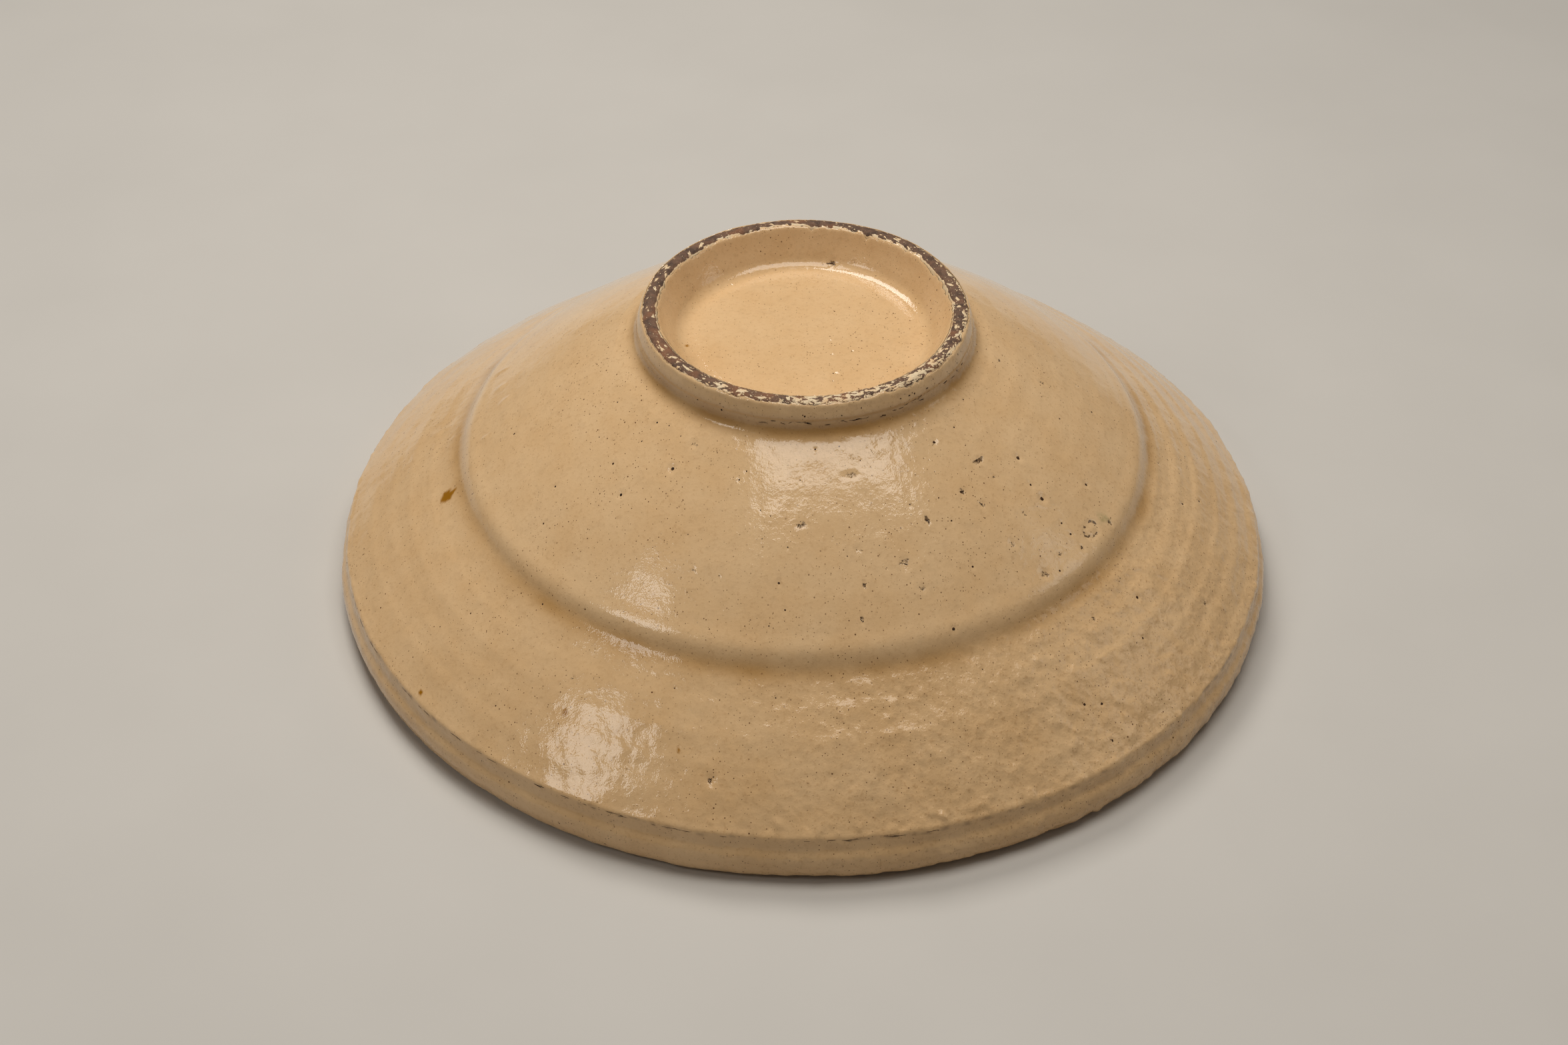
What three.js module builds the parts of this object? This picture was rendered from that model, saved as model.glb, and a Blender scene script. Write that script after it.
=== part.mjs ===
// A wide thrown stoneware dish with a foot ring, standing upside down on its rim.
// Millimetres, +Z up. The rim's land lies on z = 0 and the foot ring is on top.
//
// Three pieces of dark clay are joined when leather hard: the dish wall, the foot ring luted on
// its back, and the band that thickens the rim. Coats of white slip and then of glaze cover the
// clay everywhere but on top of the foot ring. Every piece is a body of revolution.
//
// All outlines are runs of (radius, height) points along the finished surface. They go from the
// centre of the foot well, over the foot ring, down the back, round the lip and up into the bowl,
// so the clay is always on the right. Each coat lies at its own depth under that surface.

import * as THREE from 'three';

const { degToRad, lerp } = THREE.MathUtils;

const SEGMENTS = 40;
const CROWN_SHARPNESS = 2.6;

// Overall sizes
const HEIGHT = 87;
const LIP_RADIUS = 135;

// Foot ring: the bare edge on top, the side that bulges below it, and the well inside it
const BARE_INNER_RADIUS = 41.1;
const BARE_OUTER_RADIUS = 44.4;
const FOOT_SIDE = [point(45.5, 85), point(46.4, 82.2), point(46.6, 79.4)];
const WELL_FLOOR = 77;
const WELL_FLOOR_RADIUS = 33;
const WELL_FILLET = 4;
const WELL_WALL_ANGLE = 31;

// Back: a crease round the foot, a shallow dome, a turned step down, and a flange up to an arris
const CREASE = point(48.4, 77);
const DOME_EDGES = [point(52.6, 74.7), point(95.6, 44.6)];
const DOME_RISE = 1.1;
const FLANGE_EDGES = [point(98.6, 40.4), point(132.2, 14.4)];
const FLANGE_RISE = 1;

// Rim: a hollow under the arris, the lip, and its inside. The land between them stands on z = 0.
const BAND_HOLLOW = point(133.2, 10.6);
const LIP = [point(LIP_RADIUS, 7), point(134, 2.8), point(131, 0)];
const LIP_INSIDE = [point(127.5, 0), point(124.9, 2.2), point(123.8, 7.5)];
const RIM_SEAM = 12.6;

// Inside of the bowl, from the lip to the middle of its floor
const BOWL = [
  point(116, 17.2),
  point(98, 31.6),
  point(73, 50.6),
  point(50, 64.2),
  point(28, 68.2),
  point(0, 68.5),
];

// Coats, and the gap that every two touching pieces keep
const GLAZE = 0.6;
const SLIP = 0.4;
const GAP = 0.3;
const COATS_END = 84.6;

const SLIP_DEPTH = GLAZE + GAP;
const CLAY_DEPTH = SLIP_DEPTH + SLIP + GAP;
const FOOT_SEAM = WELL_FLOOR - CLAY_DEPTH;

const COLOURS = {
  clay: { color: 0x5a4637, roughness: 0.85, metalness: 0 },
  slip: { color: 0xe0cda9, roughness: 0.8, metalness: 0 },
  glaze: { color: 0xc8a67a, roughness: 0.2, metalness: 0 },
};

function point(radius, height) {
  return new THREE.Vector2(radius, height);
}

function curve(stations, steps) {
  return new THREE.SplineCurve(stations).getPoints(steps);
}

// A shallow crowned run between two edges, steepest at both ends.
function crowned([from, to], rise, steps) {
  const run = [];
  for (let i = 0; i <= steps; i += 1) {
    const t = i / steps;
    const crown = rise * (1 - Math.abs(2 * t - 1) ** CROWN_SHARPNESS);
    run.push(from.clone().lerp(to, t).add(point(0, crown)));
  }
  return run;
}

// Moves a run of points towards the clay, keeping the spacing even at corners.
function sunk(run, depth) {
  const sides = run.slice(1).map((end, i) => {
    const along = end.clone().sub(run[i]).normalize();
    return point(along.y, -along.x);
  });
  return run.map((place, i) => {
    const before = sides[Math.max(i - 1, 0)];
    const after = sides[Math.min(i, sides.length - 1)];
    const corner = before.clone().add(after).divideScalar(1 + before.dot(after));
    const moved = corner.multiplyScalar(depth).add(place);
    return point(place.x === 0 ? 0 : moved.x, moved.y);
  });
}

function crossing(a, b, height) {
  return a.clone().lerp(b, (height - a.y) / (b.y - a.y));
}

// The stretch of a run above (side 1) or below (side -1) a height, cut exactly at that height.
function trimmed(run, height, side) {
  const isKept = (place) => side * (place.y - height) > 0;
  const kept = [];
  run.forEach((place, i) => {
    const last = run[i - 1];
    if (last && isKept(last) !== isKept(place)) kept.push(crossing(last, place, height));
    if (isKept(place)) kept.push(place);
  });
  return kept;
}

function wellSurface() {
  const centre = point(WELL_FLOOR_RADIUS, WELL_FLOOR + WELL_FILLET);
  const fillet = [0, 0.5, 1].map((t) => {
    const angle = degToRad(lerp(-90, -WELL_WALL_ANGLE, t));
    return centre.clone().add(point(Math.cos(angle), Math.sin(angle)).multiplyScalar(WELL_FILLET));
  });
  const start = fillet.at(-1);
  const wallWidth = (HEIGHT - start.y) * Math.tan(degToRad(WELL_WALL_ANGLE));
  return [point(0, WELL_FLOOR), ...fillet, point(start.x + wallWidth, HEIGHT)];
}

function backSurface() {
  const dome = crowned(DOME_EDGES, DOME_RISE, 4);
  const flange = crowned(FLANGE_EDGES, FLANGE_RISE, 3);
  return [point(BARE_OUTER_RADIUS, HEIGHT), ...FOOT_SIDE, CREASE, ...dome, ...flange];
}

function rimSurface() {
  return [FLANGE_EDGES[1], BAND_HOLLOW, ...curve(LIP, 3), ...curve(LIP_INSIDE, 2)];
}

function bowlSurface() {
  return curve([LIP_INSIDE.at(-1), ...BOWL], 9);
}

// The same surface as four runs. Neighbours share their end stretches, so that a cut at the
// rim's seam falls inside both.
const rimRun = rimSurface();
const bowlRun = bowlSurface();
const well = wellSurface();
const back = [...backSurface(), rimRun[1]];
const lip = [...back.slice(-3), ...rimRun.slice(2), ...bowlRun.slice(1, 3)];
const bowl = [...rimRun.slice(-2), ...bowlRun.slice(1)];

// A coat's section: out along its deep side, back along its shallow side.
function coatSection(run, depth, thickness, keep) {
  const deep = keep(sunk(run, depth + thickness));
  const shallow = keep(sunk(run, depth));
  return [deep, shallow.reverse()];
}

const onWell = (run) => trimmed(run, COATS_END, -1);
const onBack = (run) => trimmed(trimmed(run, COATS_END, -1), RIM_SEAM + GAP / 2, 1);
const onRim = (run) => trimmed(run, RIM_SEAM - GAP / 2, -1);
const inBowl = (run) => trimmed(run, RIM_SEAM + GAP / 2, 1);

function closed(section) {
  return [...section, section[0]];
}

function wellCoat(depth, thickness) {
  return coatSection(well, depth, thickness, onWell).flat();
}

function backCoat(depth, thickness) {
  return closed(coatSection(back, depth, thickness, onBack).flat());
}

function rimCoat(depth, thickness) {
  return closed(coatSection(lip, depth, thickness, onRim).flat());
}

function bowlCoat(depth, thickness) {
  const [deep, shallow] = coatSection(bowl, depth, thickness, inBowl);
  return [...shallow, ...deep];
}

// Clay from the seat of the foot ring to the rim's seam, and back along the bowl to the axis.
function dishWall() {
  const outer = trimmed(onBack(sunk(back, CLAY_DEPTH)), FOOT_SEAM, -1);
  const inner = inBowl(sunk(bowl, CLAY_DEPTH));
  return [point(0, FOOT_SEAM), ...outer, ...inner].reverse();
}

// The ring is as wide as the finished foot above the coats, and lies under them below.
function footRing() {
  const seat = FOOT_SEAM + GAP;
  const shoulder = COATS_END + GAP;
  const buried = (run) => trimmed(trimmed(sunk(run, CLAY_DEPTH), seat, 1), shoulder, -1);
  const wellEdge = trimmed(well, shoulder, 1)[0];
  const backEdge = trimmed(back, shoulder, 1).at(-1);
  const top = [point(BARE_INNER_RADIUS, HEIGHT), point(BARE_OUTER_RADIUS, HEIGHT)];
  return closed([...buried(well), wellEdge, ...top, backEdge, ...buried(back)].reverse());
}

function rimBand() {
  return closed(onRim(sunk(lip, CLAY_DEPTH)).reverse());
}

const dish = new THREE.Group();

function add(name, section, look) {
  const geometry = new THREE.LatheGeometry(section, SEGMENTS).rotateX(Math.PI / 2);
  const mesh = new THREE.Mesh(geometry, new THREE.MeshStandardMaterial(COLOURS[look]));
  mesh.name = name;
  dish.add(mesh);
}

add('dish_wall', dishWall(), 'clay');
add('foot_ring', footRing(), 'clay');
add('rim_band', rimBand(), 'clay');

add('well_slip', wellCoat(SLIP_DEPTH, SLIP), 'slip');
add('back_slip', backCoat(SLIP_DEPTH, SLIP), 'slip');
add('rim_slip', rimCoat(SLIP_DEPTH, SLIP), 'slip');
add('bowl_slip', bowlCoat(SLIP_DEPTH, SLIP), 'slip');

add('well_glaze', wellCoat(0, GLAZE), 'glaze');
add('back_glaze', backCoat(0, GLAZE), 'glaze');
add('rim_glaze', rimCoat(0, GLAZE), 'glaze');
add('bowl_glaze', bowlCoat(0, GLAZE), 'glaze');

export default dish;
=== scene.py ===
"""A wide glazed stoneware dish, standing upside down on its rim with its foot ring on top.

The CAD frame says where the rim, foot ring and coats are. This script makes the same pieces
with a fine surface: one master outline of the finished pot, a relief that stands for the
potter's hand and the glaze, and one function, place(), that puts any point of any layer on it.
"""

import math

import bpy
import numpy as np
from mathutils import Matrix, Vector


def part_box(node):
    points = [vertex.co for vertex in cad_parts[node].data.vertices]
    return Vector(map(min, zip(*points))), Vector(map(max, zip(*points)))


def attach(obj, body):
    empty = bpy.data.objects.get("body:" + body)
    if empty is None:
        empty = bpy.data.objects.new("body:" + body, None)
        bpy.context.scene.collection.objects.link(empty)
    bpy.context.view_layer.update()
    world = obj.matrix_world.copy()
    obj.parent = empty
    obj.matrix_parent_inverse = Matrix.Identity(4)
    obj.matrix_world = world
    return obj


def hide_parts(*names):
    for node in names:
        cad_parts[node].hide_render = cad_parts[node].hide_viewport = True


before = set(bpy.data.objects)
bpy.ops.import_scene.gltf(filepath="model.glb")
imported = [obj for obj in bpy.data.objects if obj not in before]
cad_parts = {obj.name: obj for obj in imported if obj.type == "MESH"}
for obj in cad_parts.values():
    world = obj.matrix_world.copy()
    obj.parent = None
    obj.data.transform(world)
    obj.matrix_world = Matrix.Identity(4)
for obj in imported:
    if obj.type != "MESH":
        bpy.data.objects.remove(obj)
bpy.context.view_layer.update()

# Outlines are drawn in millimetres. MM is one of them in metres, taken from the frame's rim.
# CAD_GLAZE is how thick the frame's glaze is.
RIM_RADIUS = 135.0
CAD_GLAZE = 0.6
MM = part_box("rim_glaze")[1][0] / RIM_RADIUS
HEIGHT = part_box("foot_ring")[1][2] / MM
WELL_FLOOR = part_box("well_glaze")[0][2] / MM + CAD_GLAZE
BOWL_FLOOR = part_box("bowl_glaze")[1][2] / MM - CAD_GLAZE

# Depths under the finished surface: the glaze's underside, the top and underside of the slip,
# and the top of the clay. No pit goes through the glaze.
GLAZE = 0.45
SLIP_TOP = 0.47
CLAY_TOP = 0.62
SLIP_UNDER = CLAY_TOP - 0.02
DEEPEST_PIT = 0.36

# Runs of (radius, height) stations along the finished surface, from the well's centre outwards,
# over the back, round the lip and up into the bowl. A curve joins the stations of each run.
WELL_RUN = [
    (0, WELL_FLOOR - 0.1), (16, WELL_FLOOR), (29, WELL_FLOOR + 0.1), (34.0, WELL_FLOOR + 0.3),
    (35.5, WELL_FLOOR + 1.2), (37.0, WELL_FLOOR + 3.3), (39.4, HEIGHT - 2.6),
    (40.4, HEIGHT - 0.6),
]
FOOT_RUN = [
    (40.4, HEIGHT - 0.6), (41.4, HEIGHT + 0.15), (44.0, HEIGHT + 0.15), (45.0, HEIGHT - 0.5),
    (45.8, HEIGHT - 2.4), (46.35, HEIGHT - 4.4), (46.4, HEIGHT - 6.0), (46.6, HEIGHT - 7.6),
    (47.3, HEIGHT - 9.0), (48.6, HEIGHT - 10.1), (50.4, HEIGHT - 11.1), (52.6, HEIGHT - 12.3),
]
BACK_RUN = [
    (52.6, HEIGHT - 12.3), (58, 71.4), (68, 64.9), (78, 57.9), (86, 51.9), (91, 47.95),
    (95.5, 44.35), (96.3, 43.2), (97.7, 41.15), (99.5, 39.65), (101.4, 38.2), (107, 34.4),
    (113, 30.3), (119, 25.6), (126, 19.9), (132.2, 14.4),
]
RIM_RUN = [
    (132.2, 14.4), (132.45, 13.5), (132.6, 12.4), (132.85, 10.7), (134.0, 8.9), (134.5, 7.0),
    (134.1, 3.9), (132.9, 1.5), (131.0, 0.4), (129.2, 0.15), (127.6, 0.4), (125.6, 1.7),
    (124.5, 4.2), (123.6, 7.8), (120.6, 12.9),
]
BOWL_RUN = [
    (120.6, 12.9), (115.4, 18.0), (98, 31.8), (73, 50.8), (50, 64.1), (28, BOWL_FLOOR - 0.4),
    (0, BOWL_FLOOR),
]

# Spacing of the outline's points, and how far its corners are rounded off
STEP = 0.1
ROUNDING = 0.22

# The tilt of the back's dome, and how far the circle is out of true
DOME_TILT = 0.0065
OVAL = 0.0010
THREE_LOBES = 0.0005

# Relief this close to the top is squeezed, so that every layer stays in order below it. The
# land is cut off level just over the floor, and the lip just inside the frame.
SQUEEZE = 0.3
LOWEST = 0.01
LIP_MARGIN = 0.02


# ---------------------------------------------------------------- outline


def smooth_curve(stations, step):
    """Points about `step` apart on a smooth curve through the stations."""
    p = np.array(stations, float)
    gaps = np.hypot(*np.diff(p, axis=0).T)
    at = np.concatenate([[0], np.cumsum(gaps)])
    slopes = np.diff(p, axis=0) / gaps[:, None]
    inner = slopes[:-1] * gaps[1:, None] + slopes[1:] * gaps[:-1, None]
    inner /= (gaps[:-1] + gaps[1:])[:, None]
    tangents = np.vstack([slopes[0], inner, slopes[-1]])
    u = np.linspace(0, at[-1], max(2, round(at[-1] / step)))
    i = np.clip(np.searchsorted(at, u, side="right") - 1, 0, len(gaps) - 1)
    h = gaps[i][:, None]
    t = ((u - at[i]) / gaps[i])[:, None]
    return (
        (1 + 2 * t) * (1 - t) ** 2 * p[i] + t * (1 - t) ** 2 * h * tangents[i]
        + t * t * (3 - 2 * t) * p[i + 1] + t * t * (t - 1) * h * tangents[i + 1]
    )


def master_outline():
    """Arc length, radius, height and outward normal all along the finished surface."""
    runs = [smooth_curve(r, STEP) for r in (WELL_RUN, FOOT_RUN, BACK_RUN, RIM_RUN, BOWL_RUN)]
    raw = np.vstack([runs[0]] + [r[1:] for r in runs[1:]])
    reach = round(3 * ROUNDING / STEP)
    kernel = np.exp(-0.5 * (np.arange(-reach, reach + 1) * STEP / ROUNDING) ** 2)
    kernel /= kernel.sum()
    mirror = np.array([-1, 1])
    padded = np.vstack([raw[reach:0:-1] * mirror, raw, raw[-2:-reach - 2:-1] * mirror])
    line = np.stack([np.convolve(padded[:, k], kernel, "valid") for k in (0, 1)], axis=1)
    line[[0, -1], 0] = 0
    s = np.concatenate([[0], np.cumsum(np.hypot(*np.diff(line, axis=0).T))])
    along = np.gradient(line, s, axis=0)
    along /= np.hypot(*along.T)[:, None]
    return s, line[:, 0], line[:, 1], -along[:, 1], along[:, 0]


OUTLINE = master_outline()


def s_at(radius, height):
    """Arc length of the surface point nearest to a radius and height."""
    gap = np.hypot(OUTLINE[1] - radius, OUTLINE[2] - height)
    return float(OUTLINE[0][np.argmin(gap)])


S_WELL_EDGE = s_at(40.8, HEIGHT)
S_BACK_EDGE = s_at(44.8, HEIGHT - 0.3)
S_SEAM = s_at(46.4, HEIGHT - 5.3)
S_CREASE = s_at(48.0, HEIGHT - 9.0)
S_DOME = s_at(52.6, HEIGHT - 12.3)
S_GROOVE = s_at(98.2, 40.7)
S_ARRIS = s_at(132.2, 14.4)
S_RIM_SEAM = s_at(132.6, 12.4)
S_BOWL_SEAM = s_at(120.6, 12.9)
S_END = float(OUTLINE[0][-1])


# ---------------------------------------------------------------- noise

LATTICE = np.random.default_rng(11).uniform(-1, 1, 8192)
CUBE = [(a, b, c) for a in (0, 1) for b in (0, 1) for c in (0, 1)]


def noise(x, y, z, cell, seed):
    """Smooth noise from -1 to 1, in lumps about `cell` millimetres across."""
    p = np.stack([0.8 * x + 0.6 * y, 0.8 * y - 0.6 * x, z + 0.3 * x], axis=-1) / cell
    p = p + seed * 7.31
    corner = np.floor(p).astype(np.int64)
    t = p - corner
    t = t * t * (3 - 2 * t)
    total = np.zeros(p.shape[:-1])
    for a, b, c in CUBE:
        key = (corner[..., 0] + a) * 73856093 ^ (corner[..., 1] + b) * 19349663
        key = (key ^ (corner[..., 2] + c) * 83492791) % len(LATTICE)
        weight = (
            (t[..., 0] if a else 1 - t[..., 0])
            * (t[..., 1] if b else 1 - t[..., 1])
            * (t[..., 2] if c else 1 - t[..., 2])
        )
        total += weight * LATTICE[key]
    return total


def ramp(value, low, high):
    """0 below low, 1 above high, and smooth between."""
    t = np.clip((value - low) / (high - low), 0, 1)
    return t * t * (3 - 2 * t)


def band(value, middle, half_width):
    """1 in the middle, falling off smoothly on both sides."""
    return np.exp(-(((value - middle) / half_width) ** 2))


def facing(theta, azimuth, width):
    """1 at an azimuth in degrees, falling to 0 a width away."""
    off = np.abs((np.degrees(theta) - azimuth + 180) % 360 - 180)
    return 1 - ramp(off, 0, width)


# ---------------------------------------------------------------- marks in the glaze

# Marks worth placing one by one. Azimuths are in degrees, everything else in millimetres.
# Pinholes: (azimuth, radius, half width)
PINHOLES = [
    (-125, 61.2, 0.6), (-133, 71.7, 0.5), (-140, 67.0, 0.4), (-137.5, 53.7, 0.35),
    (-128, 53.7, 0.3), (-137.5, 59.1, 0.3), (-34, 69.2, 0.6), (-36.7, 79.3, 0.65),
    (-25.3, 84.8, 0.5), (-36.6, 75.4, 0.4), (-94.8, 81.0, 0.38), (-93.4, 86.6, 0.3),
    (-58.5, 83.9, 0.35), (-51.8, 55.3, 0.45), (-144, 86.7, 0.33), (-148, 79.3, 0.38),
    (-87, 50.4, 0.3), (-107, 59.2, 0.3), (-105.7, 56.9, 0.28), (-58.3, 73.1, 0.3),
    (-14.4, 72.7, 0.3), (-169, 82.2, 0.4), (-5, 81.0, 0.35), (-154, 56.5, 0.28),
    (-43.4, 54.6, 0.32), (-149, 64.8, 0.28), (-52, 119.1, 0.45), (-49.7, 120.8, 0.4),
    (-51, 128.1, 0.4), (-38.3, 115.3, 0.4), (-134.5, 99.2, 0.3), (-66, 94.8, 0.5),
    (-10.6, 108.8, 0.4), (-34.1, 108.3, 0.5), (-36.8, 86, 0.35), (-36.8, 89, 0.4),
    (-43.6, 93.5, 0.35), (-144, 111, 0.3), (-131.5, 122.8, 0.3), (-7.5, 113.5, 0.35),
]
# Burst bubbles with scorched floors: (azimuth, radius, half width, half length, how dark)
BURSTS = [
    (-80.5, 89.3, 0.5, 0.9, 1.0), (-79.2, 82.1, 0.5, 1.1, 0.9), (-111, 81.0, 0.6, 0.6, 0.6),
    (-7.8, 54.2, 0.7, 0.6, 0.6), (1.3, 77.2, 0.8, 0.6, 0.6), (-6.2, 66.3, 0.6, 1.4, 0.6),
    (-42.7, 79.3, 0.6, 0.9, 0.8), (-43.2, 68.9, 0.6, 0.6, 0.6), (-123, 54.2, 1.1, 0.9, 0.6),
    (-91, 68.1, 1.5, 0.9, 0.9), (-78, 57.4, 2.2, 0.8, 0.45), (-44, 64.0, 1.9, 0.7, 1.0),
    (-52.4, 68.3, 1.1, 0.8, 0.9), (-63.3, 71.1, 0.8, 1.1, 1.0), (-50, 72.7, 1.0, 1.0, 0.9),
    (-70.8, 79.1, 1.3, 1.7, 0.7), (-48.8, 83.4, 1.1, 1.4, 0.4), (-69, 85.0, 1.4, 1.0, 0.4),
    (-79.3, 74.3, 1.1, 0.8, 0.4), (-41.5, 90.7, 0.9, 0.7, 1.0), (-36.8, 92.9, 0.7, 1.0, 1.0),
    (-46.5, 92.4, 1.2, 1.4, 0.5), (-101.3, 122.2, 1.4, 1.5, 0.75), (-43, 105, 0.7, 1.0, 0.5),
    (-25, 121.6, 1.0, 1.3, 0.4), (-28, 94, 0.7, 1.0, 0.9), (-66, 19.7, 0.9, 0.7, 0.7),
    (77, 35.4, 1.2, 1.0, 0.8),
]
# Iron stains: (azimuth, radius, half width, half length)
AMBER_STAINS = [
    (-167.6, 102.3, 2.3, 2.6), (-122, 117.1, 0.9, 1.2), (-142, 130.3, 0.7, 0.7),
    (-171, 32.6, 0.6, 0.8), (-106, 117.5, 0.4, 0.5),
]
GREEN_STAIN = (-28.5, 92.0, 2.4, 2.2)
# A blister that has sunk back: a ring of scorched glaze
BLISTER = (-32.5, 91.5, 2.8, 1.9)
# Drips and lumps, most of them along the arris: (azimuth, radius, half width, half length, height)
LUMPS = [
    (-14.3, 133.4, 1.6, 1.2, 0.5), (-57, 131.6, 1.6, 1.8, 0.5), (-93, 129.5, 1.0, 1.6, 0.3),
    (-78, 131.6, 1.3, 1.4, 0.3), (-74, 131.0, 1.0, 1.3, 0.25), (-45.5, 130.0, 1.0, 2.4, 0.35),
    (-60, 130.8, 1.0, 1.2, 0.3), (-37, 132.4, 1.2, 1.0, 0.35), (-100, 131.8, 1.3, 0.9, 0.2),
    (-29, 128, 1.4, 1.6, 0.25), (-68, 117, 0.8, 2.2, 0.22), (-52, 131.6, 1.1, 1.0, 0.3),
    (172, 88, 1.4, 2.2, 0.3), (178, 85, 1.0, 1.8, 0.25), (-174, 90, 0.9, 2.3, 0.3),
    (165, 91, 1.0, 2.0, 0.25),
]
# Where the smaller pinholes gather: (how many, azimuth, spread, least radius, greatest radius)
PINHOLE_CLUSTERS = [
    (70, -60, 28, 50, 92), (60, -85, 45, 52, 95), (26, 120, 180, 52, 130),
    (46, -60, 60, 100, 131), (30, 0, 180, 3, 38),
]


def back_s(radius):
    """Arc length on the outer side for a radius beyond the crease."""
    on_back = (OUTLINE[0] > S_CREASE) & (OUTLINE[0] < S_ARRIS + 1)
    return np.interp(radius, OUTLINE[1][on_back], OUTLINE[0][on_back])


def well_s(radius):
    """Arc length inside the foot well for a radius."""
    in_well = OUTLINE[0] < S_WELL_EDGE
    return np.interp(radius, OUTLINE[1][in_well], OUTLINE[0][in_well])


def spot(azimuth, radius, half_width, half_length=None):
    """Where a mark is: arc length, angle, half width and half length."""
    s = well_s(radius) if radius < 40 else back_s(radius)
    return float(s), math.radians(azimuth), half_width, half_length or half_width


def scattered_pinholes():
    """More pinholes, thickest on the front right: (azimuth, radius, half width)."""
    dice = np.random.default_rng(5)
    found = []
    for count, azimuth, spread, low, high in PINHOLE_CLUSTERS:
        for _ in range(count):
            radius = math.sqrt(dice.uniform(low ** 2, high ** 2))
            size = 0.1 + 0.16 * dice.random() ** 2
            found.append((azimuth + dice.normal(0, spread), radius, size))
    return found


SCATTERED = scattered_pinholes()


def near(s, theta, radius, where, reach):
    """Indices of the points near a mark, and how far out they are: 1 is the mark's edge."""
    spot_s, spot_theta, half_width, half_length = where
    close = np.flatnonzero(np.abs(s - spot_s).ravel() < reach * half_length)
    turn = (theta.ravel()[close] - spot_theta + np.pi) % (2 * np.pi) - np.pi
    across = turn * radius.ravel()[close] / half_width
    away = np.hypot((s.ravel()[close] - spot_s) / half_length, across)
    keep = away < reach
    return close[keep], away[keep]


def pitted(s, theta, radius):
    """Depth of the marks at each point: dents with a low rim, lumps and the blister."""
    depth = np.zeros(s.size)
    dents = [(spot(a, r, 1.9 * size), 0.5 * size) for a, r, size in PINHOLES + SCATTERED]
    dents += [(spot(a, r, wide, long), 0.2) for a, r, wide, long, _ in BURSTS]
    for where, deep in dents:
        at, away = near(s, theta, radius, where, 3.0)
        depth[at] += deep * (band(away, 0, 1) - 0.3 * band(away, 1.7, 0.5))
    for azimuth, at_radius, wide, long, height in LUMPS:
        at, away = near(s, theta, radius, spot(azimuth, at_radius, wide, long), 3.0)
        depth[at] -= height * band(away, 0, 1)
    at, away = near(s, theta, radius, spot(*BLISTER), 3.0)
    depth[at] += 0.26 * band(away, 1, 0.22) - 0.12 * band(away, 0, 1)
    return depth.reshape(s.shape)


# ---------------------------------------------------------------- relief

# How far apart the throwing rings are, how far beyond the groove one of them peaks, and the
# azimuth in degrees of the roughest part of the back
RING_PITCH = 7.5
RING_START = 11.3
ROUGH_AZIMUTH = -50

# Arc lengths where the zones of the surface start and end, with soft steps between
ZONE_ENDS = [
    S_WELL_EDGE - 2, S_WELL_EDGE, S_CREASE, S_DOME + 4, S_GROOVE - 4, S_GROOVE + 4,
    S_ARRIS - 3, S_ARRIS + 1, S_BOWL_SEAM - 2, S_BOWL_SEAM + 6,
]


def zones(s, well, foot, dome, flange, rim, bowl):
    """One amount for each zone of the surface, run together softly."""
    return np.interp(s, ZONE_ENDS, [well, foot, foot, dome, dome, flange, flange, rim, rim, bowl])


def roughness_here(s, theta):
    """0 to 1: how lumpy the surface is, most of all on the front right of the flange and rim."""
    return facing(theta, ROUGH_AZIMUTH, 80) * zones(s, 0.0, 0.5, 0.12, 1.0, 1.0, 0.0)


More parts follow.
